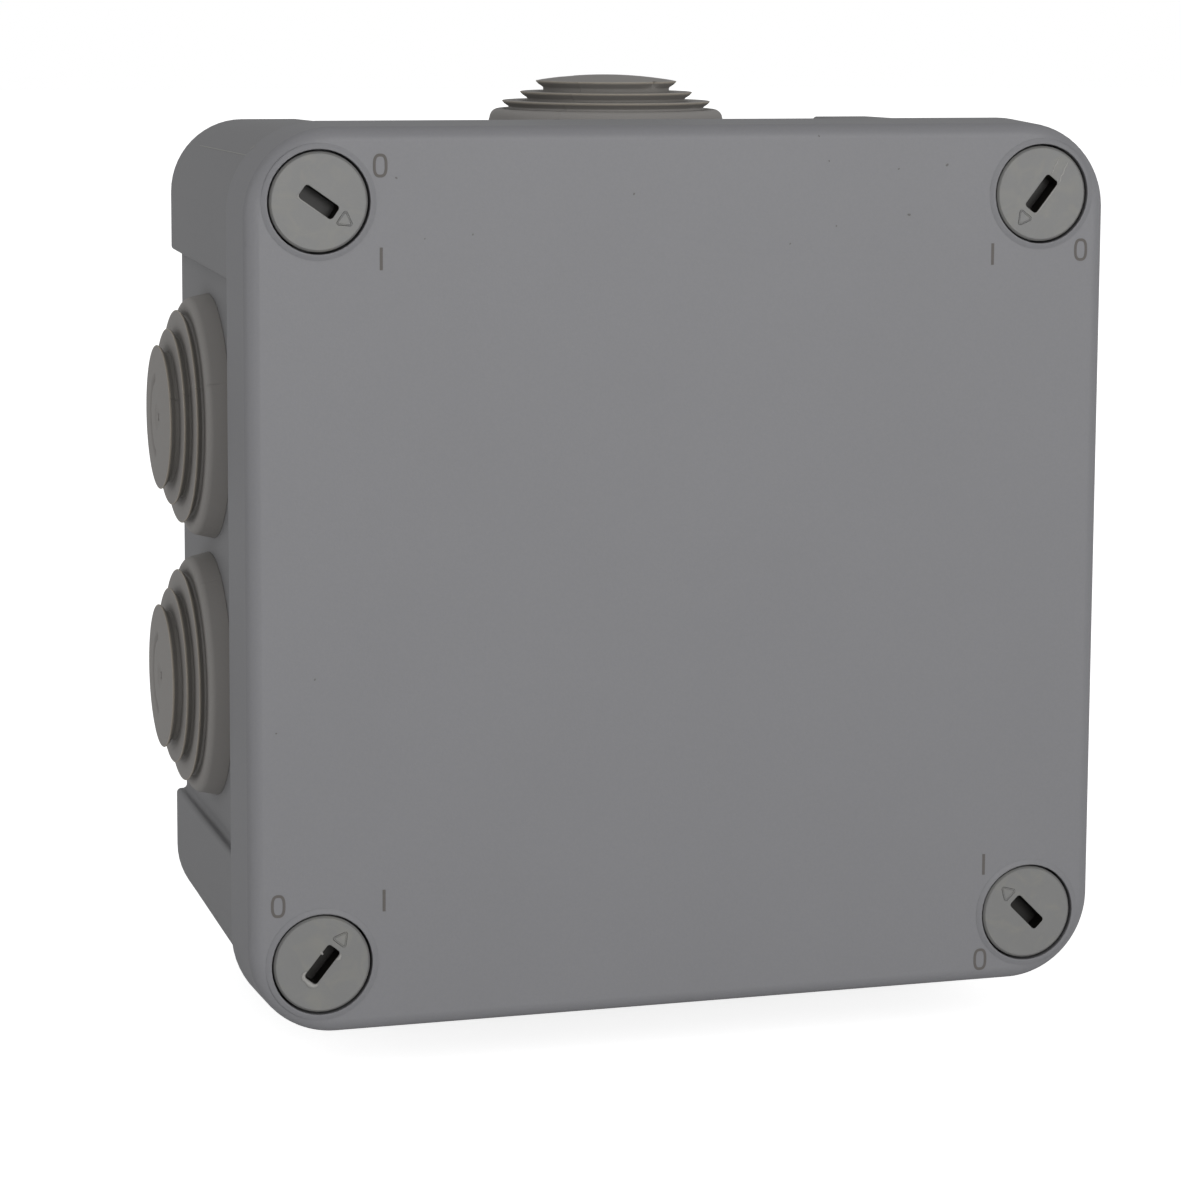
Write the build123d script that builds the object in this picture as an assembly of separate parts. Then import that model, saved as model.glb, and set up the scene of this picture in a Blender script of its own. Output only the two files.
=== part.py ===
"""Surface-mount electrical junction box, 105 x 105 x 55 mm.

A drafted base box carries seven stepped cable grommets. The cover sits on a raised sealing rim
and is held by four captive quarter-turn screws, whose lugs turn under a ledge in each corner
tower of the base.

Everything is built lying on its back: x right, y up the wall, z out of the wall. stand() then
turns it upright: back face on Y = 0, front towards -Y, up +Z, origin at the back face's centre.
"""
import os
from build123d import *

# ---- overall sizes, mm ----
width = 105.0
height = 105.0
depth = 55.0
cover_depth = 10.0         # from its back edge to the front
corner_r = 10.5
cover_overhang = 0.9       # how far the cover stands out past the base, all round
rear_inset = 0.5           # mould draft: how far each side draws in at the back face
cover_inset = 0.4          # mould draft of the cover, at its front face
cover_edge_r = 1.6
parting_gap = 0.2          # between the base's edge and the cover's skirt
past = 1.0                 # how far a cutter runs past the face it opens

# ---- side panels between the corner lobes ----
panel_step = 1.3
panel_margin = 3.0         # from the outer grommets to the corner lobes, at the parting
lobe_draft = 0.9           # the lobes get shorter towards the back face
step_round = 0.55

# ---- walls ----
wall = 2.15
floor = 2.6

# ---- cover screws and the towers that take them ----
screw_inset = 8.7          # screw axis from the outside of the cover, both ways
tower_r = 10.0
cavity_r = 3.0             # cavity's other corners
head_r = 5.65
head_thick = 3.6
head_chamfer = 0.25
well_gap = 0.275           # round the head
shank_r = 4.0
shank_gap = 0.3
seat_thick = 2.6           # cover material under the head
snap_r = 4.7               # bead that keeps the screw in the cover
snap_gap = 0.25            # under the seat
snap_room = 0.4            # round the bead
snap_thick = 0.9
stem_r = 2.7
lug_span = 8.4             # over the two lugs
lug_width = 2.6
lug_thick = 2.0
lug_gap = 0.3              # between the lugs and the ledge they turn under
ledge_top = 1.4            # ledge's top, below the parting
ledge_thick = 2.2
keyhole_gap = 0.35
lug_room = 0.7             # round the lugs, in their chamber
chamber_floor = 3.0        # room left under the lugs
slot_length = 4.7
slot_width = 1.8
slot_depth = 2.4
slot_corner_r = 0.4
lip_width = 0.65           # soft raised lip round each screw well
lip_height = 0.2
lip_bevel = 0.5            # width of the lip's sloping outside
# direction of the arrow end of each slot, from +x counterclockwise, seen from the front
screw_turn = {"top_left": -35.0, "top_right": -128.0, "bottom_left": 51.0, "bottom_right": 135.0}

# ---- sealing rim, channel and gasket ----
rim_thick = 1.5
rim_clear = 0.5            # rim's top to the gasket
channel_gap = 0.5          # clear of the rim on each side
rib_thick = 1.5            # cover's inner rib
rib_overlap = 3.1          # how far the rib reaches down inside the rim
cover_thick = 2.2          # front wall
gasket_thick = 2.0
gasket_play = 0.15

# ---- wall fixings and terminal bosses ----
fixing_x = 26.0
fixing_y = 38.0
fixing_hole_r = 2.25
fixing_boss_r = 4.6
fixing_boss_height = 2.4
fixing_sink = 1.6
boss_x = 15.0
boss_y = 15.0
boss_r = 3.2
boss_height = 6.0
boss_bore_r = 1.3
boss_bore_depth = 5.0
boss_chamfer = 0.4         # on the wall fixing bosses too

# ---- tower relief, open at the back ----
core_wall = 2.4
core_roof = 2.6            # between the pocket and the lugs' chamber
core_flat = 0.9            # straight part of each pocket side

# ---- grommets; heights are above the side panel at the grommet's axis ----
grommet_level = 20.2       # axis above the back face
disc_r = (12.9, 10.67, 8.71)
rim_overhang = 0.9         # each disc's sharp rim over the neck below it
rim_edge = 0.12            # thickness at the rim
undercut = 0.75            # height of the cone under the rim
neck_length = (0.14, 0.25, 0.47)   # straight part of each neck, below the cone
dome_rise = 0.75
skin = 1.1                 # membrane thickness
flange_margin = 1.5        # flange's top, out from the first disc
flange_flare = 0.5
flange_height = 2.9
flange_round = 1.1
flange_gap = 2.0           # between the flanges of a pair
hole_gap = 0.15            # neck in the wall
lip_hook = 1.3             # inner lip, out from the neck
inner_lip_thick = 1.5
inner_lip_bevel = 0.5
lip_room = 0.3             # round the inner lip
score_r = 4.9
score_width = 0.5
score_depth = 0.3
nipple_r = 0.6             # gate mark in the middle of the membrane
nipple_height = 0.12

# ---- what follows from them ----
half_w = width / 2 - cover_overhang            # of the base, at the parting
half_h = height / 2 - cover_overhang
base_corner_r = corner_r - cover_overhang
base_depth = depth - cover_depth - parting_gap
screw_x = width / 2 - screw_inset
screw_y = height / 2 - screw_inset
cover_back = base_depth + parting_gap
cover_face = depth - lip_height
cover_ceiling = cover_face - cover_thick
seat_top = cover_face - head_thick
seat_bottom = seat_top - seat_thick
ledge_z = base_depth - ledge_top
lug_top = ledge_z - ledge_thick - lug_gap
chamber_z = lug_top - lug_thick - chamber_floor
chamber_r = lug_span / 2 + lug_room
rim_top = cover_ceiling - gasket_thick - rim_clear
draft = rear_inset / base_depth
neck_r = tuple(r - rim_overhang for r in disc_r)
disc_height = tuple(flange_height + sum(neck_length[:i]) + i * (undercut + rim_edge) for i in (1, 2, 3))
flange_top_r = disc_r[0] + flange_margin
flange_r = flange_top_r + flange_flare
inner_lip_r = neck_r[0] + lip_hook
grommet_pitch = 2 * flange_r + flange_gap      # between the two axes of a pair
panel_half = grommet_pitch / 2 + flange_r + panel_margin

corners = {
    "top_left": (-screw_x, screw_y),
    "top_right": (screw_x, screw_y),
    "bottom_left": (-screw_x, -screw_y),
    "bottom_right": (screw_x, -screw_y),
}

# node name: (side angle from +x, offset along the side, seen from outside the front)
entries = {
    "grommet_right_upper": (0, grommet_pitch / 2),
    "grommet_right_lower": (0, -grommet_pitch / 2),
    "grommet_top": (90, 0.0),
    "grommet_left_upper": (180, -grommet_pitch / 2),
    "grommet_left_lower": (180, grommet_pitch / 2),
    "grommet_bottom_left": (270, -grommet_pitch / 2),
    "grommet_bottom_right": (270, grommet_pitch / 2),
}


def stand(shape):
    """From the lying build position to the upright one."""
    return Rot(90, 0, 0) * shape


def inset_at(z):
    """How far the drafted sides have drawn in at height z over the back face."""
    return draft * (base_depth - z)


def round_corners(sketch, chosen, radius):
    """Fillet only the corners of a sketch that chosen() accepts."""
    return fillet(sketch.vertices().filter_by(chosen), radius)


def shell_outline(z):
    """Outside of the base at height z: a rounded square with a shallow panel in each side."""
    inset = inset_at(z)
    w = half_w - inset
    h = half_h - inset
    along = panel_half + lobe_draft * inset / rear_inset
    sketch = RectangleRounded(2 * w, 2 * h, base_corner_r - inset)
    for side in (-1, 1):
        sketch -= Pos(0, side * h) * Rectangle(2 * along, 2 * panel_step)
        sketch -= Pos(side * w, 0) * Rectangle(2 * panel_step, 2 * along)

    def on_step(v):
        return abs(abs(v.X) - along) < 0.01 or abs(abs(v.Y) - along) < 0.01

    return Pos(0, 0, z) * round_corners(sketch, on_step, min(step_round, 0.45 * panel_step))


def well_outline(grow, z):
    """Cross-shaped outline of the wiring chamber, grown outwards by grow.

    Its arms run to the side walls and its inner corners pass round the screw towers.
    """
    w = half_w - panel_step - wall + grow
    h = half_h - panel_step - wall + grow
    notch_w = screw_x - tower_r + grow
    notch_h = screw_y - tower_r + grow
    sketch = RectangleRounded(2 * w, 2 * notch_h, cavity_r + grow)
    sketch += RectangleRounded(2 * notch_w, 2 * h, cavity_r + grow)

    def at_tower(v):
        return abs(abs(v.X) - notch_w) < 0.01 and abs(abs(v.Y) - notch_h) < 0.01

    return Pos(0, 0, z) * round_corners(sketch, at_tower, tower_r - grow)


def prism(sketch, length):
    return extrude(sketch, amount=length)


def wall_slab(angle):
    """The drafted side wall of the side that faces angle, on the box's x axis, z from the back face."""
    half = side_half(angle) - panel_step
    outer_bottom = half - inset_at(0)
    section = Polyline(
        (outer_bottom, 0, 0),
        (half, 0, base_depth),
        (half - wall, 0, base_depth),
        (outer_bottom - wall, 0, 0),
        close=True,
    )
    return extrude(make_face(section), amount=2 * flange_r, dir=(0, 1, 0), both=True)


def entry_cut(angle):
    """Hole for a grommet's neck, and room for its inner lip behind the wall."""
    half = side_half(angle) - panel_step
    inner_face = half - inset_at(0) - wall
    hole = side_disc(neck_r[0] + hole_gap, inner_face, half + past)
    room = side_disc(inner_lip_r + lip_room, inner_face - inner_lip_thick - lip_room, half)
    return hole + (room - Pos(0, 0, -grommet_level) * wall_slab(angle))


def band(outer, inner, z, length):
    """Wall that follows the wiring chamber, between two growths of its outline."""
    return prism(well_outline(outer, z), length) - prism(well_outline(inner, z), length)


def at_corners(shape):
    return [Pos(x, y, 0) * shape for x, y in corners.values()]


def at_four(x, y, shape):
    return [Pos(sx * x, sy * y, 0) * shape for sx in (-1, 1) for sy in (-1, 1)]


def entry_place(angle, along):
    """Frame of a cable entry: its x points out of the box along the grommet's axis."""
    return Rot(0, 0, angle) * Pos(0, along, grommet_level)


def side_half(angle):
    """Half size of the base across the side that faces angle."""
    return half_w if angle % 180 == 0 else half_h


def disc(radius, z0, z1):
    return Pos(0, 0, z0) * Cylinder(radius, z1 - z0, align=(Align.CENTER, Align.CENTER, Align.MIN))


def side_disc(radius, x0, x1):
    """Cylinder along x, from x0 to x1."""
    return Pos(x0, 0, 0) * Rot(0, 90, 0) * disc(radius, 0, x1 - x0)


def keyhole(z0, z1):
    """Opening in the ledge: round for the stem, with a slot that lets the lugs through."""
    profile = Circle(stem_r + keyhole_gap)
    profile += Rectangle(lug_span + 2 * keyhole_gap, lug_width + 2 * keyhole_gap)
    return Pos(0, 0, z0) * prism(profile, z1 - z0)


def unlocked_turn(name):
    """Keyhole direction: a quarter turn counterclockwise from the locked mark."""
    x, y = corners[name]
    return 45.0 if x * y < 0 else -45.0


def tower_relief():
    """Pocket in the back of a tower, which keeps its walls even."""
    outer_x = half_w - inset_at(0) - core_wall
    inner_x = screw_x - tower_r - inset_at(0) + core_wall
    outer_y = half_h - inset_at(0) - core_wall
    inner_y = screw_y - tower_r - inset_at(0) + core_wall
    size_x = outer_x - inner_x
    size_y = outer_y - inner_y
    corner = (min(size_x, size_y) - core_flat) / 2
    top = chamber_z - core_roof
    shrink = draft * top
    mouth = RectangleRounded(size_x, size_y, corner)
    end = RectangleRounded(size_x - 2 * shrink, size_y - 2 * shrink, corner - shrink)
    pocket = loft([mouth, Pos(0, 0, top) * end], ruled=True)
    return Pos((outer_x + inner_x) / 2, (outer_y + inner_y) / 2, 0) * pocket


def fixing_boss():
    boss = disc(fixing_boss_r, 0, floor + fixing_boss_height)
    return chamfer(boss.edges().group_by(Axis.Z)[-1], boss_chamfer)


def fixing_hole():
    top = floor + fixing_boss_height
    sink = Pos(0, 0, top - fixing_sink / 2) * Cone(fixing_hole_r, fixing_hole_r + fixing_sink, fixing_sink)
    return disc(fixing_hole_r, -past, top + past) + sink


def terminal_boss():
    boss = disc(boss_r, 0, floor + boss_height)
    return chamfer(boss.edges().group_by(Axis.Z)[-1], boss_chamfer)


def base_box():
    box = loft([shell_outline(0), shell_outline(base_depth)], ruled=True)
    cavity = loft([well_outline(-inset_at(floor), floor), well_outline(0, base_depth)], ruled=True)
    box -= cavity
    box += band(rim_thick, 0, base_depth, rim_top - base_depth)
    relief = tower_relief()
    for name, (x, y) in corners.items():
        sx = 1 if x > 0 else -1
        sy = 1 if y > 0 else -1
        pocket = relief if sx > 0 else mirror(relief, about=Plane.YZ)
        pocket = pocket if sy > 0 else mirror(pocket, about=Plane.XZ)
        box -= pocket
        chamber = disc(chamber_r, chamber_z, ledge_z - ledge_thick)
        mouth = disc(chamber_r, ledge_z, base_depth)
        opening = Rot(0, 0, unlocked_turn(name)) * keyhole(ledge_z - ledge_thick, ledge_z)
        box -= Pos(x, y, 0) * (chamber + mouth + opening)
    box += at_four(fixing_x, fixing_y, fixing_boss())
    box -= at_four(fixing_x, fixing_y, fixing_hole())
    box += at_four(boss_x, boss_y, terminal_boss())
    bore_top = floor + boss_height
    box -= at_four(boss_x, boss_y, disc(boss_bore_r, bore_top - boss_bore_depth, bore_top))
    for angle, along in entries.values():
        box -= entry_place(angle, along) * entry_cut(angle)
    return box


def cover():
    front = RectangleRounded(width - 2 * cover_inset, height - 2 * cover_inset, corner_r - cover_inset)
    back = RectangleRounded(width, height, corner_r)
    shell = loft([Pos(0, 0, cover_back) * back, Pos(0, 0, cover_face) * front], ruled=True)
    shell = fillet(shell.edges().group_by(Axis.Z)[-1], cover_edge_r)
    channel = well_outline(rim_thick + channel_gap, cover_back)
    shell -= prism(channel, cover_ceiling - cover_back)
    rib_z = rim_top - rib_overlap
    shell += band(-channel_gap, -channel_gap - rib_thick, rib_z, cover_ceiling - rib_z)
    lip = disc(head_r + well_gap + lip_width, seat_top, cover_face + lip_height)
    lip = chamfer(lip.edges().group_by(Axis.Z)[-1], lip_height * 0.9, lip_bevel)
    shell += at_corners(lip)
    well = disc(head_r + well_gap, seat_top, depth + past)
    passage = disc(shank_r + shank_gap, seat_bottom, seat_top)
    below = disc(snap_r + snap_room, cover_back - past, seat_bottom)
    shell -= at_corners(well + passage + below)
    return shell


def cover_gasket():
    """Flat seal at the bottom of the cover's channel, just clear of the base's rim."""
    outer = rim_thick + channel_gap - gasket_play
    return band(outer, gasket_play - channel_gap, cover_ceiling - gasket_thick, gasket_thick)


def cover_screw():
    """Captive quarter-turn screw on its own axis, arrow end of the slot along +x."""
    top = depth - lip_height / 2
    head = disc(head_r, seat_top, top)
    head = chamfer(head.edges().group_by(Axis.Z)[-1], head_chamfer)
    shank_bottom = seat_bottom - snap_gap - snap_thick
    screw = head + disc(shank_r, shank_bottom, seat_top)
    screw += disc(snap_r, shank_bottom, seat_bottom - snap_gap)
    screw += disc(stem_r, lug_top - lug_thick, shank_bottom)
    lugs = Rectangle(lug_span, lug_width) & Circle(lug_span / 2)
    screw += Pos(0, 0, lug_top - lug_thick) * prism(lugs, lug_thick)
    slot = RectangleRounded(slot_length, slot_width, slot_corner_r)
    return screw - Pos(0, 0, top - slot_depth) * prism(slot, slot_depth)


def grommet_profile(inner_face):
    """Half section of a grommet in the x-y plane, x along its axis from the panel outwards."""
    lip_x = -inner_face - inner_lip_thick
    foot = [
        (lip_x, neck_r[0] - skin),
        (lip_x, inner_lip_r - inner_lip_bevel),
        (lip_x + inner_lip_bevel, inner_lip_r),
        (-inner_face / 2, inner_lip_r),
        (-inner_face / 2, flange_r),
        (0, flange_r),
        (flange_height - flange_round, flange_top_r),
        (flange_height, flange_top_r - flange_round),
    ]
    steps = [(flange_height, neck_r[0])]
    for rim, neck, top, next_neck in zip(disc_r, neck_r, disc_height, neck_r[1:] + disc_r[-1:]):
        steps += [(top - rim_edge - undercut, neck), (top - rim_edge, rim), (top, rim), (top, next_neck)]
    outside = Polyline(*foot, *steps[:-1])
    apex = disc_height[2] + dome_rise
    dome = ThreePointArc(
        (disc_height[2], disc_r[2]),
        (disc_height[2] + dome_rise * 0.75, disc_r[2] / 2),
        (apex, 0),
    )
    inside = Polyline(
        (apex, 0),
        (apex - skin, 0),
        (disc_height[2] - skin * 0.6, neck_r[2] - skin),
        (disc_height[1] - skin, neck_r[2] - skin),
        (disc_height[1] - skin, neck_r[1] - skin),
        (disc_height[0] - skin, neck_r[1] - skin),
        (disc_height[0] - skin, neck_r[0] - skin),
        (lip_x, neck_r[0] - skin),
    )
    return make_face([outside, dome, inside])


def grommet(angle):
    """Grommet of the side that faces angle, placed on the box's x axis at its own level.

    Its flange and inner lip follow the drafted wall; only the neck passes through it.
    """
    half = side_half(angle) - panel_step
    panel_x = half - inset_at(grommet_level)
    body = revolve(grommet_profile(wall), axis=Axis.X)
    score = side_disc(score_r + score_width / 2, 0, depth) - side_disc(score_r - score_width / 2, 0, depth)
    surface = disc_height[2] + dome_rise * (1 - (score_r / disc_r[2]) ** 2)
    body -= score & side_disc(disc_r[2], surface - score_depth, depth)
    body += side_disc(nipple_r, surface, disc_height[2] + dome_rise + nipple_height)
    passage = side_disc(neck_r[0], -panel_x, depth)
    slab = Pos(-panel_x, 0, -grommet_level) * wall_slab(angle)
    return Pos(panel_x, 0, 0) * (body - (slab - passage))


def save(shape, name):
    export_step(stand(shape), f"parts/{name}.step")


def main():
    os.makedirs("parts", exist_ok=True)
    save(base_box(), "base_box")
    save(cover(), "cover")
    save(cover_gasket(), "cover_gasket")
    screw = cover_screw()
    for name, (x, y) in corners.items():
        save(Pos(x, y, 0) * Rot(0, 0, screw_turn[name]) * screw, f"cover_screw_{name}")
    for name, (angle, along) in entries.items():
        save(entry_place(angle, along) * grommet(angle), name)


main()
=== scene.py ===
"""Looks of the electrical junction box: moulded grey plastic, stepped rubber grommets, printed marks.

Everything is in metres in the box's own frame: X right, Y into the wall, Z up, front towards -Y.
Sizes below are in millimetres and are scaled when a mesh is made.
"""
import math

import bpy
from mathutils import Matrix, Vector


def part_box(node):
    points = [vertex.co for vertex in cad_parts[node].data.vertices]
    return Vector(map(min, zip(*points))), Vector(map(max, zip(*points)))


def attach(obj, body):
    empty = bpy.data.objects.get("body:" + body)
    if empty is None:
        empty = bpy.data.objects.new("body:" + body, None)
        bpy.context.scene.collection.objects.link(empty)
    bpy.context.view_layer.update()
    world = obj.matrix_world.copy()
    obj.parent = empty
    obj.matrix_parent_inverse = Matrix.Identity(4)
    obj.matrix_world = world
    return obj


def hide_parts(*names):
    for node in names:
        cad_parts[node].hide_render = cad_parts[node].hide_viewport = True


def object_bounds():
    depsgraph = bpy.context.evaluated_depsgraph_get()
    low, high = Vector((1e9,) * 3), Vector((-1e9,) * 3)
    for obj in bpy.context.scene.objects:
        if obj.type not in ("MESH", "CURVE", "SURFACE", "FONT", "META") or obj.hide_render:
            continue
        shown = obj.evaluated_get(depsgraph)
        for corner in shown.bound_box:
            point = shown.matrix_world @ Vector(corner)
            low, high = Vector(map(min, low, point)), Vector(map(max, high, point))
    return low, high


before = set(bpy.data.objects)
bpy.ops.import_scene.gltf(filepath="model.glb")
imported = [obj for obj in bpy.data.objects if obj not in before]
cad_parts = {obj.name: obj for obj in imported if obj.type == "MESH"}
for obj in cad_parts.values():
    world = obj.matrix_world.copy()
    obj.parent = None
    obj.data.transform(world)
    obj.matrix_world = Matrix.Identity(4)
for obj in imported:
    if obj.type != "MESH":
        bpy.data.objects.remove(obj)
cad_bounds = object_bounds()

MM = 0.001
COVER_FACE = -54.8         # flat front of the cover, along Y
SCREW_FACE = -54.9         # flat top of a screw's head
COVER_CEILING = -52.6      # inside of the cover's front
BASE_FLOOR = -2.6          # inside of the base's back
BASE_DEPTH = 44.8          # from the back to the parting
DRAFT = 0.5 / BASE_DEPTH   # slope of the base's sides
SCREW_AT = 43.8            # screw axes from the middle, both ways
CORNER_CENTRE = 42.0       # centre of the box's rounded corners, both ways
BASE_CORNER_R = 9.6        # at the parting
COVER_CORNER_R = 10.5      # at the parting
SINK = 0.02                # how far a flat mark starts below its face
# signs of x and z
CORNERS = {"top_left": (-1, 1), "top_right": (1, 1), "bottom_left": (-1, -1), "bottom_right": (1, -1)}
# degrees from +X to the marked end of each screw's slot, as the screw stands at rest
SLOT_TURN = {"top_left": -35.0, "top_right": -128.0, "bottom_left": 51.0, "bottom_right": 135.0}


# ---------- small helpers ----------

def link(obj):
    bpy.context.scene.collection.objects.link(obj)
    return obj


def mesh_object(name, verts, faces, smooth=True):
    """A mesh from points in millimetres."""
    mesh = bpy.data.meshes.new(name)
    mesh.from_pydata([Vector(v) * MM for v in verts], [], faces)
    mesh.update()
    for polygon in mesh.polygons:
        polygon.use_smooth = smooth
    return link(bpy.data.objects.new(name, mesh))


def paint(obj, *materials):
    """Change a piece's materials; clearing them loses which face has which, so that is put back."""
    finishes = [polygon.material_index for polygon in obj.data.polygons]
    obj.data.materials.clear()
    for material in materials:
        obj.data.materials.append(material)
    if len(materials) > 1:
        obj.data.polygons.foreach_set("material_index", finishes)


def settle(obj, body, slot, *materials):
    """Give a new piece its materials and let it ride on a body; slot is not used."""
    paint(obj, *materials)
    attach(obj, body)
    return obj


def screw_axis(corner):
    """A point on a screw's axis, in millimetres."""
    sign = CORNERS[corner]
    return Vector((sign[0] * SCREW_AT, 0, sign[1] * SCREW_AT))


# ---------- shader node groups ----------

FLOAT = "NodeSocketFloat"
COLOUR = "NodeSocketColor"


def add_node(tree, kind, **settings):
    """Add a node; settings name its attributes, or its input sockets by their label."""
    node = tree.nodes.new("Shader" + kind if not kind.startswith("NodeGroup") else kind)
    for key, value in settings.items():
        if hasattr(node, key):
            setattr(node, key, value)
        else:
            node.inputs[key.replace("_", " ")].default_value = value
    return node


class Group:
    """A shader node group with named sockets."""

    def __init__(self, name, inputs, outputs):
        self.tree = bpy.data.node_groups.new(name, "ShaderNodeTree")
        for socket, kind, value in inputs:
            made = self.tree.interface.new_socket(socket, in_out="INPUT", socket_type=kind)
            made.default_value = value
        for socket, kind in outputs:
            self.tree.interface.new_socket(socket, in_out="OUTPUT", socket_type=kind)
        self.inn = self.node("NodeGroupInput").outputs
        self.out = self.node("NodeGroupOutput").inputs

    def node(self, kind, **settings):
        return add_node(self.tree, kind, **settings)

    def join(self, a, b):
        self.tree.links.new(a, b)

    def maths(self, operation, a, b, clamp=False):
        """A maths node on two sockets or numbers."""
        node = self.node("NodeMath", operation=operation, use_clamp=clamp)
        for value, socket in ((a, node.inputs[0]), (b, node.inputs[1])):
            if isinstance(value, (int, float)):
                socket.default_value = value
            else:
                self.join(value, socket)
        return node.outputs[0]

    def point(self):
        """The surface point in millimetres."""
        where = self.node("NodeTexCoord")
        scale = self.node("NodeVectorMath", operation="SCALE")
        scale.inputs["Scale"].default_value = 1 / MM
        self.join(where.outputs["Object"], scale.inputs[0])
        return scale.outputs[0]

    def noise(self, point, size, **settings):
        """Noise whose features are about size millimetres across."""
        node = self.node("NodeTexNoise", **settings)
        self.join(point, node.inputs["Vector"])
        self.join(self.maths("DIVIDE", 1.0, size), node.inputs["Scale"])
        return node.outputs["Fac"]

    def blend(self, amount, first, second):
        """The first colour, giving way to the second by amount."""
        mix = self.node("NodeMix", data_type="RGBA")
        self.join(amount, mix.inputs[0])
        self.join(first, mix.inputs[6])
        self.join(second, mix.inputs[7])
        return mix.outputs[2]


def make_grain_group():
    """Fine spark-eroded grain of a moulded surface, as a height."""
    g = Group("moulded_grain", [("Size", FLOAT, 0.3), ("Depth", FLOAT, 1.0)], [("Height", FLOAT)])
    fine = g.noise(g.point(), g.inn["Size"], Detail=3.0, Roughness=0.6)
    g.join(g.maths("MULTIPLY", fine, g.inn["Depth"]), g.out["Height"])
    return g.tree


def make_mottle_group():
    """Uneven tone of a moulding: broad clouds and a fine speckle over a base colour."""
    g = Group(
        "mould_mottle",
        [("Colour", COLOUR, (0.2, 0.2, 0.2, 1)), ("Clouds", FLOAT, 0.05), ("Speckle", FLOAT, 0.05),
         ("Cloud Size", FLOAT, 18.0)],
        [("Colour", COLOUR)],
    )
    point = g.point()
    broad = g.noise(point, g.inn["Cloud Size"], Detail=2.0)
    fine = g.node("NodeTexNoise", Scale=3.2, Detail=2.0)
    g.join(point, fine.inputs["Vector"])
    clouds = g.maths("MULTIPLY", g.maths("SUBTRACT", broad, 0.5), g.inn["Clouds"])
    speckle = g.maths("MULTIPLY", g.maths("SUBTRACT", fine.outputs["Fac"], 0.5), g.inn["Speckle"])
    tone = g.maths("ADD", g.maths("ADD", clouds, speckle), 1.0)
    tint = g.node("NodeVectorMath", operation="SCALE")
    g.join(g.inn["Colour"], tint.inputs[0])
    g.join(tone, tint.inputs["Scale"])
    g.join(tint.outputs[0], g.out["Colour"])
    return g.tree


def make_stain_group():
    """Patches of a second tint, as plastic shows where it was handled or flowed unevenly."""
    g = Group(
        "patchy_stain",
        [("Colour", COLOUR, (0.2, 0.2, 0.2, 1)), ("Stain", COLOUR, (0.25, 0.23, 0.18, 1)),
         ("Amount", FLOAT, 0.5), ("Size", FLOAT, 4.0)],
        [("Colour", COLOUR)],
    )
    patches = g.noise(g.point(), g.inn["Size"], Detail=4.0, Roughness=0.55, Distortion=1.2)
    spread = g.maths("MULTIPLY", g.maths("SUBTRACT", patches, 0.48), 5.0, clamp=True)
    amount = g.maths("MULTIPLY", spread, g.inn["Amount"])
    g.join(g.blend(amount, g.inn["Colour"], g.inn["Stain"]), g.out["Colour"])
    return g.tree


def make_crevice_group(name, own_only):
    """Painted shade, with some soiling, in grooves: a second colour where the surface is enclosed.

    With own_only, other pieces close by don't count, only the piece's own grooves.
    """
    g = Group(
        name,
        [("Colour", COLOUR, (0.2, 0.2, 0.2, 1)), ("Grime", COLOUR, (0.05, 0.045, 0.04, 1)),
         ("Amount", FLOAT, 0.5), ("Reach", FLOAT, 0.002)],
        [("Colour", COLOUR)],
    )
    around = g.node("NodeAmbientOcclusion", samples=8, only_local=own_only)
    g.join(g.inn["Reach"], around.inputs["Distance"])
    closed = g.maths("SUBTRACT", 1.0, around.outputs["AO"])
    amount = g.maths("MULTIPLY", closed, g.inn["Amount"], clamp=True)
    g.join(g.blend(amount, g.inn["Colour"], g.inn["Grime"]), g.out["Colour"])
    return g.tree


# ---------- materials ----------

def linear(red, green, blue):
    """A colour given as 0-255 screen values, as linear light."""
    def one(value):
        value /= 255
        return value / 12.92 if value <= 0.04045 else ((value + 0.055) / 1.055) ** 2.4
    return (one(red), one(green), one(blue), 1.0)


def use(tree, group, **values):
    """Place a node group in a material, with its own values."""
    node = tree.nodes.new("ShaderNodeGroup")
    node.node_tree = group
    for key, value in values.items():
        node.inputs[key.replace("_", " ")].default_value = value
    return node


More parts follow.
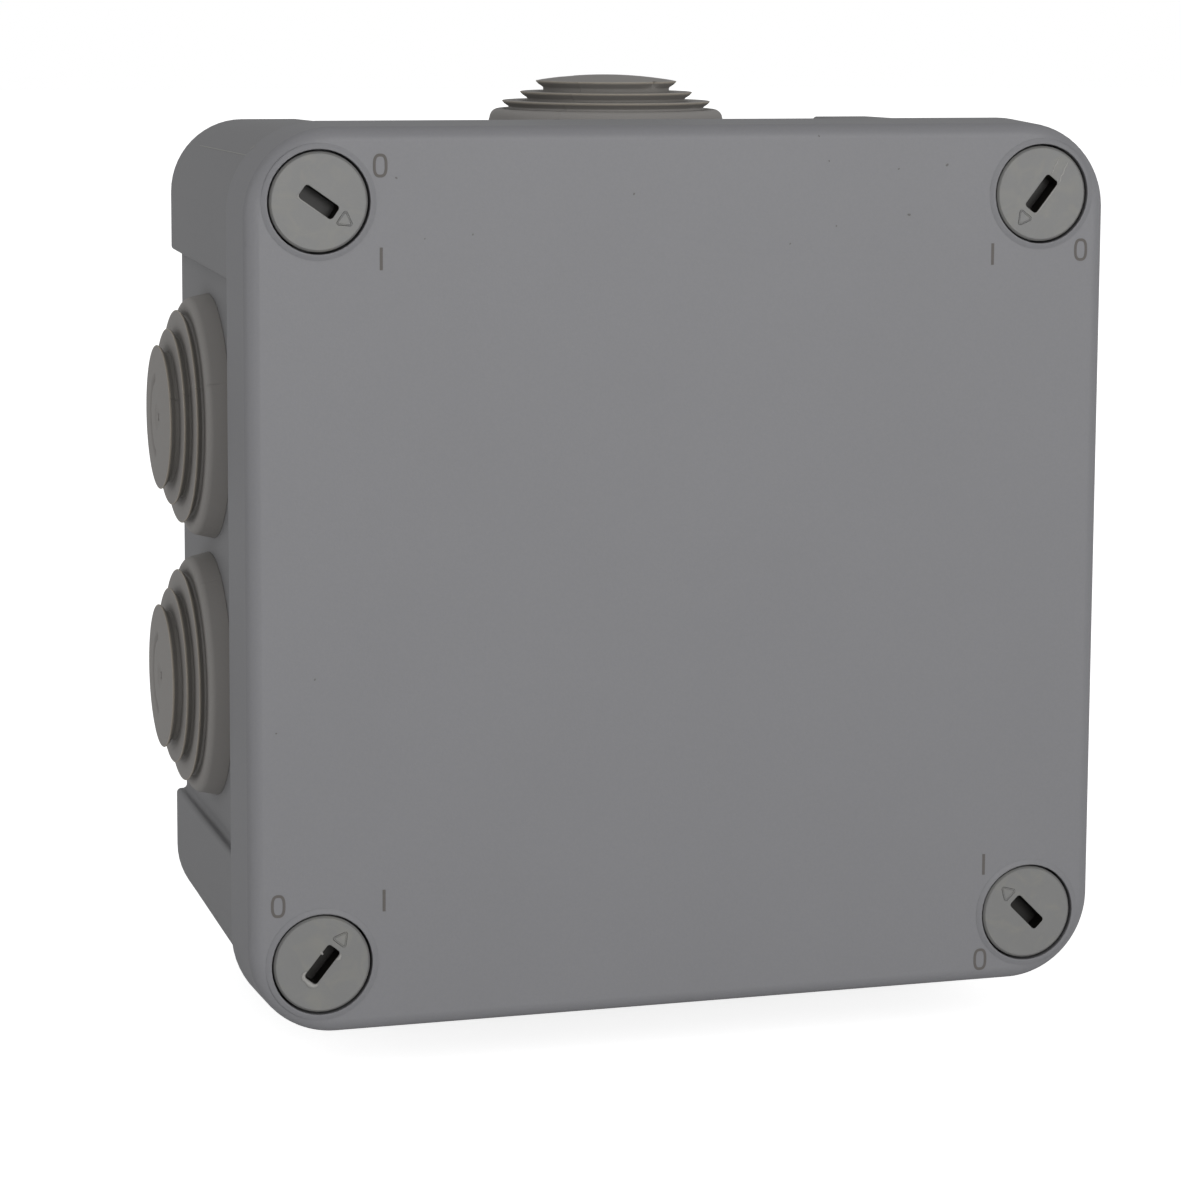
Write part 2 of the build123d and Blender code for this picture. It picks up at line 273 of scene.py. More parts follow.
def plastic(name, colour, roughness, grain_size, grain_depth, clouds, speckle, grime_and_shade,
            reach=2.0, cloud_size=18.0, soft_edge=0.15, stain=None,
            grime_and_shade_colour=(0.05, 0.045, 0.04, 1), own_only=False):
    """Moulded plastic or rubber: mottled colour, soiling and painted shade in the corners, fine grain, eased
    edges.

    Depths, reaches and sizes are in millimetres; stain is (colour, amount, size) or nothing.
    """
    material = bpy.data.materials.new(name)
    material.use_nodes = True
    tree = material.node_tree
    shader = tree.nodes["Principled BSDF"]
    shader.inputs["Roughness"].default_value = roughness
    shader.inputs["Specular IOR Level"].default_value = 0.4
    tone = use(tree, mottle, Colour=colour, Clouds=clouds, Speckle=speckle, Cloud_Size=cloud_size)
    colour_out = tone.outputs["Colour"]
    if stain:
        patches = use(tree, stained, Stain=stain[0], Amount=stain[1], Size=stain[2])
        tree.links.new(colour_out, patches.inputs["Colour"])
        colour_out = patches.outputs["Colour"]
    # darker where the surface is enclosed: painted shade, with some soiling
    grooves = own_crevice if own_only else crevice
    dirt_and_shade = use(tree, grooves, Amount=grime_and_shade, Reach=reach * MM, Grime=grime_and_shade_colour)
    tree.links.new(colour_out, dirt_and_shade.inputs["Colour"])
    tree.links.new(dirt_and_shade.outputs["Colour"], shader.inputs["Base Color"])
    texture = use(tree, grain, Size=grain_size, Depth=grain_depth * MM)
    bump = add_node(tree, "NodeBump", Strength=1.0, Distance=1.0)
    tree.links.new(texture.outputs["Height"], bump.inputs["Height"])
    if soft_edge:
        eased = add_node(tree, "NodeBevel", samples=4, Radius=soft_edge * MM)
        tree.links.new(eased.outputs["Normal"], bump.inputs["Normal"])
    tree.links.new(bump.outputs["Normal"], shader.inputs["Normal"])
    return material


grain = make_grain_group()
mottle = make_mottle_group()
stained = make_stain_group()
crevice = make_crevice_group("crevice_grime_and_shade", False)
own_crevice = make_crevice_group("own_crevice_grime_and_shade", True)

base_plastic = plastic(
    "base_plastic", linear(131, 131, 133), 0.55, grain_size=0.25, grain_depth=0.014,
    clouds=0.06, speckle=0.07, grime_and_shade=0.3)
cover_plastic = plastic(
    "cover_plastic", linear(132, 132, 135), 0.48, grain_size=0.25, grain_depth=0.012,
    clouds=0.05, speckle=0.075, grime_and_shade=0.3, soft_edge=0.3)
# the near-black, far-reaching darkening in grooves is painted shade deep inside the screw slots
screw_plastic = plastic(
    "screw_plastic", linear(129, 129, 128), 0.45, grain_size=0.5, grain_depth=0.006,
    clouds=0.08, speckle=0.04, grime_and_shade=6.0, reach=5.0, cloud_size=5.0, soft_edge=0.12,
    stain=(linear(139, 138, 131), 0.5, 3.5), grime_and_shade_colour=(0.006, 0.0045, 0.0025, 1), own_only=True)
# paler plastic of the scuffs and ridges on the screws and of the mould line; on the parting bead it is a
# painted highlight
scuffed_and_highlight_plastic = plastic(
    "scuffed_and_highlight_plastic", linear(158, 157, 154), 0.5, grain_size=0.2, grain_depth=0.01,
    clouds=0.1, speckle=0.1, grime_and_shade=0.0, soft_edge=0)
grommet_rubber = plastic(
    "grommet_rubber", linear(148, 145, 142), 0.6, grain_size=0.3, grain_depth=0.012,
    clouds=0.05, speckle=0.05, grime_and_shade=0.08, reach=1.0, grime_and_shade_colour=(0.03, 0.025, 0.018, 1))
# darker rubber: painted shade on the underside and neck of each disc
grommet_undercut_shade = plastic(
    "grommet_undercut_shade", linear(127, 124, 120), 0.7, grain_size=0.3, grain_depth=0.012,
    clouds=0.05, speckle=0.05, grime_and_shade=0.1, reach=1.0, soft_edge=0)
# paler rubber: painted highlight along the edge of each disc
grommet_rim_highlight = plastic(
    "grommet_rim_highlight", linear(162, 155, 144), 0.6, grain_size=0.3, grain_depth=0.01,
    clouds=0.05, speckle=0.1, grime_and_shade=0.3, reach=0.5, soft_edge=0)
gasket_foam = plastic(
    "gasket_foam", linear(38, 38, 40), 0.85, grain_size=0.4, grain_depth=0.1,
    clouds=0.1, speckle=0.3, grime_and_shade=0.3)
mark_ink = plastic(
    "mark_ink", linear(99, 95, 92), 0.6, grain_size=0.3, grain_depth=0.008,
    clouds=0.05, speckle=0.15, grime_and_shade=0.0, soft_edge=0)
speck_dark = plastic(
    "speck_dark", linear(104, 102, 102), 0.6, grain_size=0.2, grain_depth=0.01,
    clouds=0.1, speckle=0.2, grime_and_shade=0.0, soft_edge=0)

for node_name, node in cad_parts.items():
    if node_name == "base_box":
        paint(node, base_plastic)
    elif node_name == "cover":
        paint(node, cover_plastic)
    elif node_name.startswith("cover_screw"):
        paint(node, screw_plastic)
    elif node_name.startswith("grommet"):
        paint(node, grommet_rubber)
    else:
        paint(node, gasket_foam)


# ---------- grommets ----------

# heights are from the side panel outwards along the axis
FOOT = -3.65               # inner end, behind the wall
NECKS = (12.0, 9.77, 7.81)         # radius of the neck under each disc
RIMS = ((12.9, 3.91), (10.67, 5.03), (8.71, 6.37))     # radius and height of each disc
FLANGE_TOP = 2.9
APEX = 7.12                # middle of a domed end
REACH = 7.24               # furthest point of the solid
SKIN = 1.1                 # thickness of the rubber
LEVEL = -20.2              # Y of every grommet's axis
NOSE_R = 0.08              # rounding of a disc's edge
FOLLOW_TO = 2.6            # up to this height the flange follows the slope of the side panel
SCORE_R = 4.9              # middle of the groove that is cut for a cable
SCORE_HALF_WIDTH = 0.4
SCORE_DEPTH = 0.4
SCORE_SPAN = 76.0          # degrees it runs to, both ways from the back face's side
GATE_R, GATE_DEPTH = 1.7, 0.28     # dimple in the middle of the end
NUB_R, NUB_HEIGHT = 0.45, 0.2      # stub left in the dimple
HALF_STEP = 0.03           # one mould half stands this much prouder
SEAM_SPREAD = 0.3          # degrees over which the line between the mould halves fades
PLAIN, RIM_HIGHLIGHT, UNDERCUT_SHADE = 0, 1, 2     # material along the profile: plain rubber, a painted highlight on a disc's edge, painted shade under a disc

SIDES = {
    "left": Vector((-1, 0, 0)), "right": Vector((1, 0, 0)),
    "top": Vector((0, 0, 1)), "bottom": Vector((0, 0, -1)),
}

# where the two mould halves meet: degrees round the axis from the back face's side, and the line's
# depth in millimetres, less than nothing where it stands proud
SEAMS = {"grommet_left_upper": (201.5, 0.09), "grommet_top": (140.5, -0.07)}
OTHER_SEAM = (60.0, 0.06)
# how far the membrane's end bulges; most lie nearly flat
BULGES = {"grommet_top": APEX - RIMS[2][1]}
OTHER_BULGE = 0.12
# on the top grommet: (degrees, millimetres wide, deep, rim it sits on)
NICKS = ((208.0, 1.3, 0.2, 2), (210.4, 0.4, 0.85, 2), (225.0, 0.5, 0.16, 0))


def arc(centre, radius, start, stop, steps):
    """Points on an arc in the (radius, height) plane, angles in degrees."""
    return [
        (centre[0] + radius * math.cos(math.radians(start + (stop - start) * i / steps)),
         centre[1] + radius * math.sin(math.radians(start + (stop - start) * i / steps)))
        for i in range(steps + 1)
    ]


def rim_edge(rim_r, top):
    """The thin edge of a disc, in paler rubber as a painted highlight: a strip under it, nose, a strip on its
    top.
    """
    nose = arc((rim_r - NOSE_R, top - NOSE_R), NOSE_R, -45, 90, 4)
    return [(rim_r - 0.14, top - 0.255)] + nose + [(rim_r - 0.15, top)]


def end_face(r, bulge):
    """Height of the membrane's end, with the dimple of its gate."""
    height = RIMS[2][1] + bulge * (1 - (r / RIMS[2][0]) ** 2)
    if r < GATE_R:
        height -= GATE_DEPTH * (1 - (r / GATE_R) ** 2)
    if r < NUB_R:
        height += NUB_HEIGHT
    return height


def grommet_profile(bulge):
    """Rings of (radius, height over the side panel, material), from the bore round and back inside."""
    plain = [(NECKS[0] - SKIN, FOOT), (12.8, FOOT)]
    plain += arc((12.85, FOOT + 0.45), 0.45, -90, 0, 4)
    plain += [(13.3, -2.2), (NECKS[0], -2.15), (NECKS[0], -0.02), (14.9, -0.02), (14.88, 0.1)]
    plain += arc((13.35, 1.8), 1.1, 12, 88, 9)
    plain += [(12.6, FLANGE_TOP - 0.02)] + arc((12.34, 3.13), 0.27, 268, 200, 4)
    rings = [(r, h, PLAIN) for r, h in plain]
    # each disc: painted shade under it down to its neck, then a painted highlight along its edge
    for i, (rim_r, top) in enumerate(RIMS):
        if i:
            fillet = arc((NECKS[i] + 0.14, RIMS[i - 1][1] + 0.14), 0.14, 265, 190, 3)
            rings += [(r, h, UNDERCUT_SHADE) for r, h in fillet]
            rings.append((NECKS[i], top - 0.87, UNDERCUT_SHADE))
        rings += [(NECKS[i] + 0.12, top - 0.74, UNDERCUT_SHADE), (rim_r - 0.3, top - 0.42, UNDERCUT_SHADE)]
        rings += [(r, h, RIM_HIGHLIGHT) for r, h in rim_edge(rim_r, top)]
    # closer together at the groove, the dimple and the stub
    for r in (8.1, 7.6, 7.0, 6.4, 5.8, 5.4, 5.22, 5.1, 5.0, 4.9, 4.8, 4.7, 4.58, 4.4, 4.0, 3.4, 2.8,
              2.2, 1.9, 1.7, 1.5, 1.2, 0.9, 0.62, 0.46, 0.44, 0.3, 0.15):
        rings.append((r, end_face(r, bulge), PLAIN))
    rings.append((0.0, end_face(0.0, bulge), PLAIN))
    inside = [(0, RIMS[2][1] - 0.6), (3.5, RIMS[2][1] - 0.6), (NECKS[2] - SKIN, RIMS[2][1] - 0.7)]
    inside += [(NECKS[2] - SKIN, RIMS[1][1] - SKIN), (NECKS[1] - SKIN, RIMS[1][1] - SKIN)]
    inside += [(NECKS[1] - SKIN, RIMS[0][1] - SKIN), (NECKS[0] - SKIN, RIMS[0][1] - SKIN)]
    return rings + [(r, h, PLAIN) for r, h in inside]


def turns_round(seam, nicks):
    """Angles of the columns of points: evenly round, closer at the seam and at each nick."""
    angles = {round(2.5 * i, 3) for i in range(144)}
    for half in (seam, seam + 180):
        angles |= {round((half + d) % 360, 3) for d in (-0.7, -0.4, -0.2, 0, 0.2, 0.4, 0.7)}
    for nick in nicks:
        angles |= {round((nick[0] + 0.5 * i) % 360, 3) for i in range(-20, 21)}
    return sorted(angles)


def gap_between(a, b):
    """Difference of two angles in degrees, from -180 to 180."""
    return (a - b + 180) % 360 - 180


def worn_point(r, height, degrees, seam_line, nicks):
    """Radius and height at one angle of a ring, with the seam, the scored groove and the nicks."""
    seam, seam_depth = seam_line
    radius, lift = r, height
    # the seam, down the outside of the discs and the flange
    if 0.5 < height and r > 7:
        beside = gap_between(2 * degrees, 2 * seam) / 2
        step = HALF_STEP * (gap_between(degrees, seam + 90) ** 2 < 90 ** 2)
        radius += step - seam_depth * math.exp(-((beside / SEAM_SPREAD) ** 2))
    # the groove, in the end
    if 4.3 < r < 5.5 and height > 6:
        ends = max(0.0, min(1.0, (SCORE_SPAN - abs(gap_between(degrees, 0))) / 5))
        lift -= SCORE_DEPTH * ends * math.exp(-(((r - SCORE_R) / SCORE_HALF_WIDTH) ** 4))
    for at, wide, deep, rim in nicks:
        top = RIMS[rim][1]
        if top - 0.8 < height < top + 0.01 and r > NECKS[rim]:
            along = math.radians(gap_between(degrees, at)) * r
            radius -= min(deep, r - NECKS[rim]) * math.exp(-((along / wide) ** 2))
    return radius, lift


def skin_faces(rings, profile, count):
    """Faces from each ring to the next, and the material of each face.

    Where the material changes the face is plain, unless it leaves an undercut, which keeps the painted shade.
    """
    faces = []
    finishes = []
    for k, (a, b) in enumerate(zip(rings, rings[1:] + rings[:1])):
        here, after = profile[k][2], profile[(k + 1) % len(profile)][2]
        finish = UNDERCUT_SHADE if here == UNDERCUT_SHADE else here if here == after else PLAIN
        for i in range(count):
            j = (i + 1) % count
            corners = [a[i % len(a)], a[j % len(a)], b[j % len(b)], b[i % len(b)]]
            unique = list(dict.fromkeys(corners))
            if len(unique) > 2:
                faces.append(unique)
                finishes.append(finish)
    return faces, finishes


def turn_grommet(name, centre, outward, seam_line, nicks):
    """Turn the profile round its axis; the foot follows the slope of the side panel."""
    back = Vector((0, 1, 0))
    across = outward.cross(back)
    columns = turns_round(seam_line[0], nicks)
    profile = grommet_profile(BULGES.get(name, OTHER_BULGE))
    rings = []
    verts = []
    for r, height, _ in profile:
        if r < 1e-6:
            rings.append([len(verts)])
            verts.append(centre + outward * height)
            continue
        follow = min(1.0, max(0.0, 1 - height / FOLLOW_TO))
        ring = []
        for degrees in columns:
            turn = math.radians(degrees)
            radius, lift = worn_point(r, height, degrees, seam_line, nicks)
            lift -= follow * DRAFT * radius * math.cos(turn)
            ring.append(len(verts))
            verts.append(centre + outward * lift + (back * math.cos(turn) + across * math.sin(turn)) * radius)
        rings.append(ring)
    faces, finishes = skin_faces(rings, profile, len(columns))
    piece = mesh_object(name + "_rubber", verts, faces)
    for polygon, finish in zip(piece.data.polygons, finishes):
        polygon.material_index = finish
    return piece


def make_grommets():
    """Soft rubber in place of each grommet's solid, placed by that solid's box."""
    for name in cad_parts:
        if not name.startswith("grommet"):
            continue
        low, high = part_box(name)
        side = SIDES[name.split("_")[1]]
        middle = (low + high) / 2 / MM
        reach = max(high.dot(side), low.dot(side)) / MM
        foot = middle - side * middle.dot(side) + side * (reach - REACH)
        foot.y = LEVEL
        nicks = NICKS if name == "grommet_top" else ()
        piece = turn_grommet(name, foot, side, SEAMS.get(name, OTHER_SEAM), nicks)
        settle(piece, "base", "grommet", grommet_rubber, grommet_rim_highlight, grommet_undercut_shade)
        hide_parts(name)


make_grommets()


# ---------- gasket ----------

CHANNEL_ARM = 48.15        # from the middle to the end of each arm of the cross
CHANNEL_NOTCH = 33.8       # half the width of an arm
CHANNEL_OUTER_R = 3.0      # rounding at the ends of the arms
CHANNEL_INNER_R = 10.0     # rounding between the arms


def round_corner(corner, before, after, radius, steps=7):
    """Points that round a square corner, on the way from before to after."""
    corner, before, after = Vector(corner), Vector(before), Vector(after)
    start = (before - corner).normalized()
    stop = (after - corner).normalized()
    centre = corner + (start + stop) * radius
    points = []
    for i in range(steps + 1):
        turn = math.pi / 2 * i / steps
        points.append(centre - stop * radius * math.cos(turn) - start * radius * math.sin(turn))
    return points


def channel_outline(grow):
    """Cross-shaped line of the sealing channel, grown outwards by grow."""
    arm, notch = CHANNEL_ARM + grow, CHANNEL_NOTCH + grow
    outer, inner = CHANNEL_OUTER_R + grow, CHANNEL_INNER_R - grow
    quarter = [((arm, notch), outer), ((notch, notch), inner), ((notch, arm), outer)]
    corners = []
    for k in range(4):
        c, s = round(math.cos(k * math.pi / 2)), round(math.sin(k * math.pi / 2))
        corners += [((x * c - z * s, x * s + z * c), radius) for (x, z), radius in quarter]
    points = []
    for k, (corner, radius) in enumerate(corners):
        before, after = corners[k - 1][0], corners[(k + 1) % len(corners)][0]
        points += round_corner(corner, before, after, radius)
    return points


def loop_skin(name, loops, smooth=True):
    """A closed ring-shaped solid from loops of equal length, each joined to the next."""
    count = len(loops[0])
    verts = [point for loop in loops for point in loop]
    faces = []
    for k in range(len(loops)):
        a, b = k * count, (k + 1) % len(loops) * count
        faces += [(a + i, a + (i + 1) % count, b + (i + 1) % count, b + i) for i in range(count)]
    return mesh_object(name, verts, faces, smooth)


def make_gasket():
    """Foam that fills the channel, with a rounded top where the base's rim presses."""
    # how far outside the channel's inner line, and Y
    section = [
        (-0.35, -52.58), (-0.35, -51.3), (-0.22, -50.9), (0.1, -50.68), (0.75, -50.61), (1.4, -50.68),
        (1.72, -50.9), (1.85, -51.3), (1.85, -52.58),
    ]
    loops = [[(p.x, y, p.y) for p in channel_outline(grow)] for grow, y in section]
    foam = settle(loop_skin("gasket_foam", loops), "cover", "gasket", gasket_foam)
    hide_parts("cover_gasket")


make_gasket()


# ---------- printed marks ----------

def stroke(name, points, width, face, thickness=0.02, closed=False):
    """A flat stroke on a face that looks towards -Y, as a thin closed solid."""
    count = len(points)
    verts = []
    for i, (x, z) in enumerate(points):
        before = points[(i - 1) % count] if closed or i > 0 else points[i]
        after = points[(i + 1) % count] if closed or i < count - 1 else points[i]
        along = Vector((after[0] - before[0], 0, after[1] - before[1])).normalized()
        side = Vector((-along.z, 0, along.x)) * width / 2
        here = Vector((x, 0, z))
        for offset in (side, -side):
            for y in (face + SINK, face - thickness):
                verts.append(here + offset + Vector((0, y, 0)))
    faces = []
    for i in range(count if closed else count - 1):
        a, b = 4 * i, 4 * ((i + 1) % count)
        faces += [
            (a, b, b + 1, a + 1), (a + 2, a + 3, b + 3, b + 2),
            (a, a + 2, b + 2, b), (a + 1, b + 1, b + 3, a + 3),
        ]
    if not closed:
        last = 4 * (count - 1)
        faces += [(0, 1, 3, 2), (last, last + 2, last + 3, last + 1)]
    return mesh_object(name, verts, faces, smooth=False)


def nought(cx, cz, wide, tall, steps=44):
    """Upright rounded 0 shape, a little squarer than an ellipse."""
    power = 2 / 2.8
    points = []
    for i in range(steps):
        turn = 2 * math.pi * i / steps
        c, s = math.cos(turn), math.sin(turn)
        x = cx + wide / 2 * math.copysign(abs(c) ** power, c)
        z = cz + tall / 2 * math.copysign(abs(s) ** power, s)
        points.append((x, z))
    return points


NOUGHT_WIDE, NOUGHT_TALL, NOUGHT_STROKE = 1.36, 2.36, 0.33
BAR_HALF, BAR_STROKE = 1.28, 0.35
# offsets from each screw's axis: the 0 of an open screw, the I of a locked one
MARKS = {
    "top_left": ((7.05, 4.0), (7.15, -6.5)),
    "top_right": ((5.25, -6.75), (-6.1, -7.1)),
    "bottom_left": ((-5.1, 7.15), (7.3, 7.0)),
    "bottom_right": ((-6.0, -5.5), (-5.75, 6.3)),
}


def make_marks():
    for corner, (opened, locked) in MARKS.items():
        axis = screw_axis(corner)
        zero = nought(axis.x + opened[0], axis.z + opened[1], NOUGHT_WIDE, NOUGHT_TALL)
        ring = stroke("mark_open_" + corner, zero, NOUGHT_STROKE, COVER_FACE, closed=True)
        settle(ring, "cover", "cover", mark_ink)
        x, z = axis.x + locked[0], axis.z + locked[1]
        ends = [(x, z - BAR_HALF), (x, z + BAR_HALF)]
        bar = stroke("mark_locked_" + corner, ends, BAR_STROKE, COVER_FACE)
        settle(bar, "cover", "cover", mark_ink)


make_marks()


# ---------- screw heads: arrows, burrs and scuffs ----------

ARROW_AT = 3.6             # middle of the arrow, from the axis along the slot


def on_head(corner, along, aside):
    """A point on a screw's head, measured along its slot and to the slot's left."""
    turn = math.radians(SLOT_TURN[corner])
    axis = screw_axis(corner)
    x = axis.x + along * math.cos(turn) - aside * math.sin(turn)
    z = axis.z + along * math.sin(turn) + aside * math.cos(turn)
    return Vector((x, 0, z))


def rounded_triangle(size, corner_r, steps=6):
    """Outline of an equilateral triangle, its first tip along +x.

    Size is from the centre to where a tip would be if it were sharp.
    """
    points = []
    for k in range(3):
        tip = math.radians(120 * k)
        reach = size - 2 * corner_r
        for i in range(steps + 1):
            turn = tip + math.radians(-60 + 120 * i / steps)
            points.append((
                reach * math.cos(tip) + corner_r * math.cos(turn),
                reach * math.sin(tip) + corner_r * math.sin(turn),
            ))
    return points


def make_arrows():
    """A triangle outlined by a low ridge, at the marked end of each slot."""
    # from the outside in: size, corner radius, and Y from the head's face, less than nothing
    # where it stands proud
    section = (
        (1.5, 0.42, 0.02), (1.08, 0.14, -0.026), (1.0, 0.11, -0.03), (0.82, 0.08, 0.008), (0.82, 0.08, 0.03),
    )
    for corner in CORNERS:
        loops = []
        for size, corner_r, lift in section:
            loop = []
            for along, aside in rounded_triangle(size, corner_r):
                point = on_head(corner, ARROW_AT + along, aside)
                point.y = SCREW_FACE + lift
                loop.append(point)
            loops.append(loop)
        settle(loop_skin("arrow_" + corner, loops), "screw_" + corner, "screw", screw_plastic)


make_arrows()


def bead(name, points, radii, flatten=0.6, around=8, up=Vector((0, 1, 0))):
    """A thin rounded ridge along points, its radius given at each; flattened along up."""
    verts = []
    count = len(points)
    for i, (point, radius) in enumerate(zip(points, radii)):
        along = (points[min(i + 1, count - 1)] - points[max(i - 1, 0)]).normalized()
        aside = along.cross(up).normalized()
        for k in range(around):
            turn = 2 * math.pi * k / around
            verts.append(point + aside * radius * math.cos(turn) + up * flatten * radius * math.sin(turn))
    faces = []
    for i in range(count - 1):
        here, after = around * i, around * (i + 1)
        for k in range(around):
            beside = (k + 1) % around
            faces.append((here + k, here + beside, after + beside, after + k))
    faces += [tuple(range(around - 1, -1, -1)), tuple(range(around * (count - 1), around * count))]
    return mesh_object(name, verts, faces)


BURR_GROWTH = 1.35         # on every radius below
# name: corner, then (along, aside, radius) on that screw's head
BURRS = {
    "burr_slot_end": ("bottom_left", [
        (-1.75, 1.02, 0.05), (-2.05, 1.06, 0.13), (-2.35, 1.02, 0.17), (-2.6, 0.72, 0.2),
        (-2.62, 0.42, 0.15), (-2.68, 0.1, 0.19), (-2.7, -0.28, 0.24), (-2.66, -0.62, 0.2),
        (-2.42, -0.95, 0.15), (-2.1, -1.02, 0.08)]),
    "burr_slot_side": ("bottom_left", [
        (1.25, -1.0, 0.05), (1.5, -1.06, 0.13), (1.72, -1.2, 0.16), (1.95, -1.12, 0.12), (2.2, -1.0, 0.05)]),
    "burr_tooth": ("bottom_left", [(1.02, 1.12, 0.06), (1.0, 0.9, 0.12), (0.93, 0.7, 0.07)]),
    "burr_lower_edge": ("top_left", [
        (-2.42, -0.6, 0.04), (-2.3, -0.92, 0.09), (-1.8, -0.99, 0.05), (-0.9, -0.98, 0.04),
        (0.2, -0.98, 0.035), (1.3, -0.98, 0.03)]),
    "scuff_left": ("top_right", [
        (-2.5, -0.45, 0.03), (-2.9, -0.5, 0.06), (-3.3, -0.55, 0.04), (-3.55, -0.75, 0.07),
        (-4.0, -0.72, 0.05), (-4.4, -0.85, 0.06), (-4.85, -0.8, 0.03)]),
    "scuff_right": ("top_right", [
        (-2.2, 0.98, 0.04), (-2.7, 0.92, 0.07), (-3.1, 0.66, 0.05), (-3.6, 0.7, 0.07), (-4.1, 0.45, 0.05),
        (-4.6, 0.42, 0.06), (-5.05, 0.3, 0.03)]),
    "scuff_edge": ("top_right", [
        (-2.1, 0.99, 0.03), (-1.0, 1.0, 0.05), (0.4, 1.0, 0.05), (1.6, 0.99, 0.05), (2.4, 0.96, 0.03)]),
}


def make_burrs():
    """Paler plastic pushed up beside the slots where a screwdriver slipped."""
    for name, (corner, path) in BURRS.items():
        points = []
        for along, aside, _ in path:
            point = on_head(corner, along, aside)
            point.y = SCREW_FACE
            points.append(point)
        ridge = bead(name, points, [BURR_GROWTH * radius for _, _, radius in path])
        settle(ridge, "screw_" + corner, "screw", scuffed_and_highlight_plastic)


make_burrs()


# ---------- small wear and mould marks ----------

def flat_spot(name, place, radius, face, thickness=0.012, points=9):
    """A tiny irregular speck on a face that looks towards -Y."""
    x, z = place
    rim = []
    for i in range(points):
        turn = 2 * math.pi * i / points
        r = radius * (1 + 0.25 * math.sin(2 * turn + x) + 0.12 * math.cos(3 * turn + z))
        rim.append((x + r * math.cos(turn), z + r * math.sin(turn)))
    verts = [(px, y, pz) for y in (face + SINK, face - thickness) for px, pz in rim]
    faces = [tuple(range(points)), tuple(range(2 * points - 1, points - 1, -1))]
    faces += [(i, i + points, (i + 1) % points + points, (i + 1) % points) for i in range(points)]
    return mesh_object(name, verts, faces, smooth=False)


# x, z and radius of the darker specks on the face of the cover
SPECKS = [
    (16.9, 47.9, 0.1), (31.7, 47.3, 0.17), (27.0, 41.5, 0.17), (17.9, 40.3, 0.1), (12.2, 38.3, 0.1),
    (25.6, 46.9, 0.11), (-34.9, 46.4, 0.13), (-26.0, 39.9, 0.1), (-6.9, 44.3, 0.12), (-31.6, 39.5, 0.08),
    (15.6, 50.8, 0.1), (-44.5, -10.5, 0.11), (-49.0, -16.5, 0.1),
]


def make_specks():
    for i, (x, z, radius) in enumerate(SPECKS):
        settle(flat_spot("speck_%d" % (i + 1), (x, z), radius, COVER_FACE), "cover", "cover", speck_dark)


make_specks()


def make_mould_marks():
    """Faint rings left by the ejector pins inside the base and the cover."""
    # radius, and height over the surface; those on the cover stand a hair prouder
    section = ((2.62, -0.02), (2.5, 0.05), (2.38, 0.05), (2.26, -0.02))
    circle = [(math.cos(math.radians(10 * k)), math.sin(math.radians(10 * k))) for k in range(36)]
    base_pins = [(0, 22), (0, -22), (22, 0), (-22, 0), (38, 22), (-38, 22), (38, -22), (-38, -22)]
    cover_pins = [(18, 18), (-18, 18), (18, -18), (-18, -18), (38, 0), (-38, 0), (0, 38), (0, -38)]
    places = {
        "base": (BASE_FLOOR, base_plastic, "housing", base_pins),
        "cover": (COVER_CEILING + 0.01, cover_plastic, "cover", cover_pins),
    }
    for body, (level, material, slot, spots) in places.items():
        out = -1 if body == "base" else 1
        for i, (x, z) in enumerate(spots):
            loops = [[(x + r * c, level + out * lift, z + r * s) for c, s in circle] for r, lift in section]
            settle(loop_skin("ejector_ring_%s_%d" % (body, i + 1), loops), body, slot, material)


make_mould_marks()


def upper_left_corner(degrees, radius, y):
    """A point round the box's upper left corner, from the left side upwards."""
    turn = math.radians(degrees)
    return Vector((-CORNER_CENTRE - radius * math.cos(turn), y, CORNER_CENTRE + radius * math.sin(turn)))


def make_corner_lines():
    """A faint mould line along one corner of the base, and a short bead where it meets the cover, whose paler
    colour is a painted highlight.
    """
    at = 42
    out = (upper_left_corner(at, 1, 0) - upper_left_corner(at, 0, 0)).normalized()
    line = [upper_left_corner(at, BASE_CORNER_R - DRAFT * (BASE_DEPTH + y), y) for y in range(-44, -7, 2)]
    ridge = bead("mould_line", line, [0.03] + [0.06] * (len(line) - 2) + [0.02], up=out)
    settle(ridge, "base", "housing", scuffed_and_highlight_plastic)
    # a bead along the parting in paler plastic: a painted highlight on it
    edge = [upper_left_corner(degrees, COVER_CORNER_R, -BASE_DEPTH - 0.25) for degrees in range(43, 49)]
    highlight_bead = bead("parting_highlight_bead", edge, [0.03, 0.09, 0.11, 0.1, 0.08, 0.03], up=out)
    settle(highlight_bead, "cover", "cover", scuffed_and_highlight_plastic)


make_corner_lines()


# ---------- studio ----------

def make_camera():
    """A long lens a little above the box's middle and to its left."""
    data = bpy.data.cameras.new("camera")
    data.lens = 107.926
    data.sensor_width = 36.0
    data.shift_x = -0.0223
    data.shift_y = -0.1274
    data.clip_start = 0.01
    camera = link(bpy.data.objects.new("camera", data))
    heading = Matrix.Rotation(-0.29413, 4, "Z")
    tilt = Matrix.Rotation(math.pi / 2 - 0.12547, 4, "X")
    roll = Matrix.Rotation(0.00595, 4, "Z")
    place = Matrix.Translation(Vector((-126.620, -443.796, 67.136)) * MM)
    camera.matrix_world = place @ (heading @ tilt @ roll)
    bpy.context.scene.camera = camera


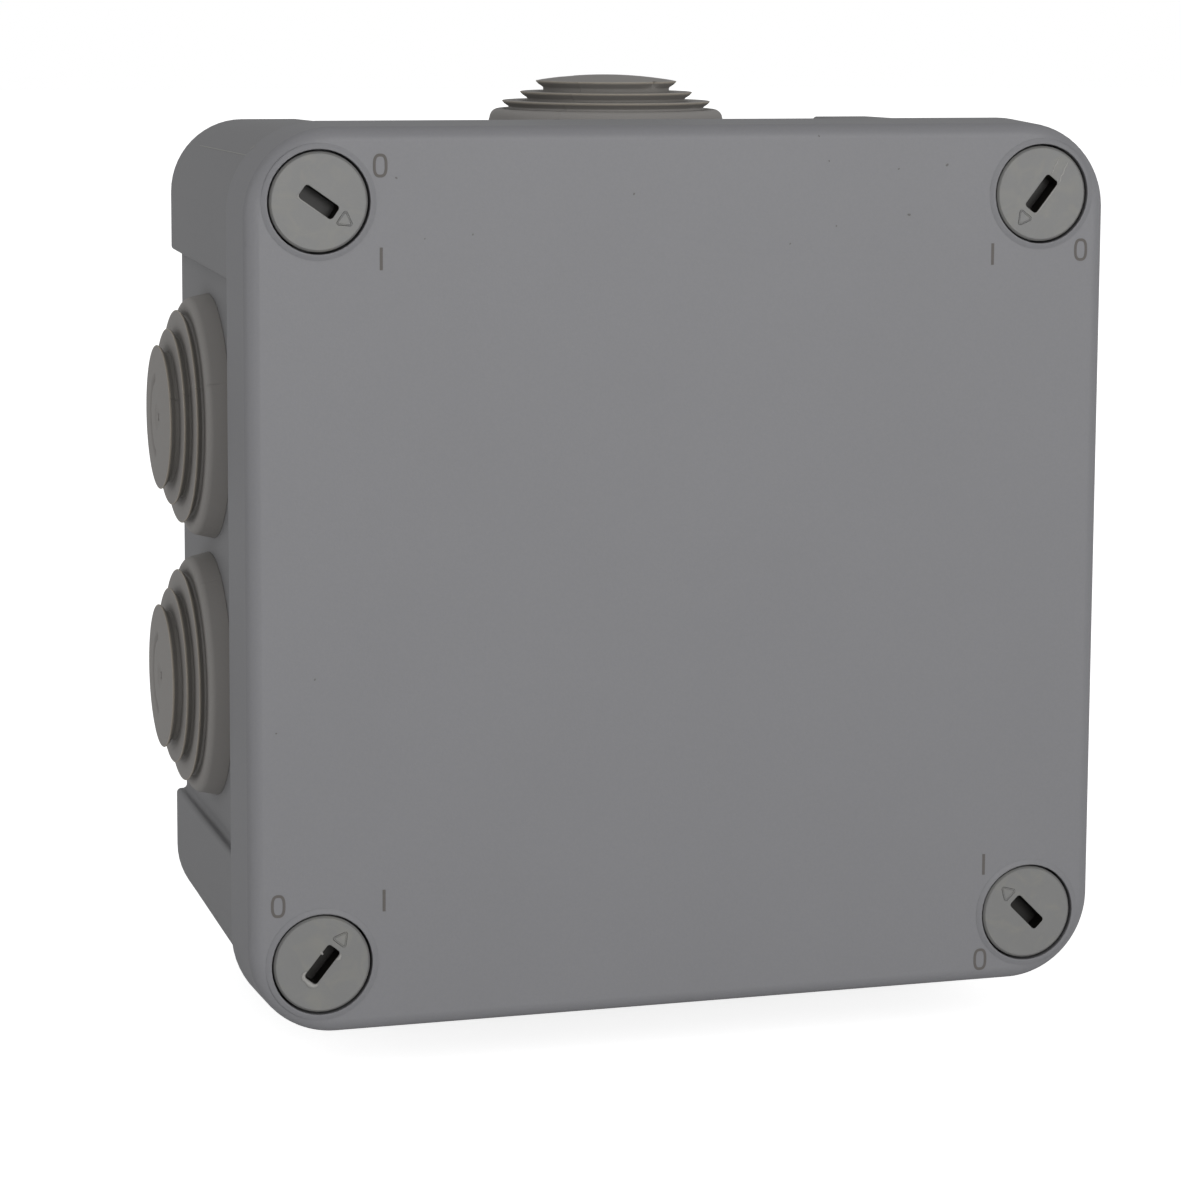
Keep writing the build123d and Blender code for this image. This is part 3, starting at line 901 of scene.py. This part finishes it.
def white_to_camera(tree, plain, shown):
    """Strength that is shown where the eye or clear glass looks straight at it, and plain elsewhere.

    Glossy rays get the plain one: nothing here is metal or glass, and the plastic would get more light.
    """
    path = add_node(tree, "NodeLightPath")
    seen = add_node(tree, "NodeMath", operation="MAXIMUM")
    tree.links.new(path.outputs["Is Camera Ray"], seen.inputs[0])
    tree.links.new(path.outputs["Is Transmission Ray"], seen.inputs[1])
    mix = add_node(tree, "NodeMix", data_type="FLOAT")
    tree.links.new(seen.outputs[0], mix.inputs[0])
    mix.inputs[2].default_value = plain
    mix.inputs[3].default_value = shown
    return mix.outputs[0]


def make_floor():
    """A pale floor at the lowest point, which keeps the shadow and shows nearly white."""
    z = cad_bounds[0].z / MM
    half = 4000
    corners = [(-half, -half, z), (half, -half, z), (half, half, z), (-half, half, z)]
    floor = mesh_object("floor", corners, [(0, 1, 2, 3)], smooth=False)
    material = bpy.data.materials.new("floor_pale")
    material.use_nodes = True
    tree = material.node_tree
    tree.nodes.clear()
    out = add_node(tree, "NodeOutputMaterial")
    diffuse = add_node(tree, "NodeBsdfDiffuse", Color=(0.9, 0.9, 0.9, 1))
    glow = add_node(tree, "NodeEmission", Color=(1, 1, 1, 1))
    tree.links.new(white_to_camera(tree, plain=0.0, shown=0.8), glow.inputs["Strength"])
    both = add_node(tree, "NodeAddShader")
    tree.links.new(diffuse.outputs[0], both.inputs[0])
    tree.links.new(glow.outputs[0], both.inputs[1])
    tree.links.new(both.outputs[0], out.inputs["Surface"])
    paint(floor, material)


def make_world():
    """Even light from all round, shown as white behind the object."""
    world = bpy.data.worlds.new("studio")
    bpy.context.scene.world = world
    world.use_nodes = True
    tree = world.node_tree
    background = tree.nodes["Background"]
    background.inputs["Color"].default_value = (1, 1, 1, 1)
    tree.links.new(white_to_camera(tree, plain=0.44, shown=1.0), background.inputs["Strength"])


def make_lamp(name, size, power, place):
    """A square soft lamp that faces the origin; size and place are in metres."""
    data = bpy.data.lights.new(name, "AREA")
    data.size = size
    data.energy = power
    lamp = link(bpy.data.objects.new(name, data))
    lamp.location = place
    lamp.rotation_euler = (-Vector(place)).to_track_quat("-Z", "Y").to_euler()


make_camera()
make_floor()
make_world()
make_lamp("key", 0.9, 14.6, (0.35, -1.6, 0.1))
make_lamp("side_fill", 1.0, 2.3, (-1.25, -0.3, 0.05))
bpy.context.scene.view_settings.view_transform = "Standard"
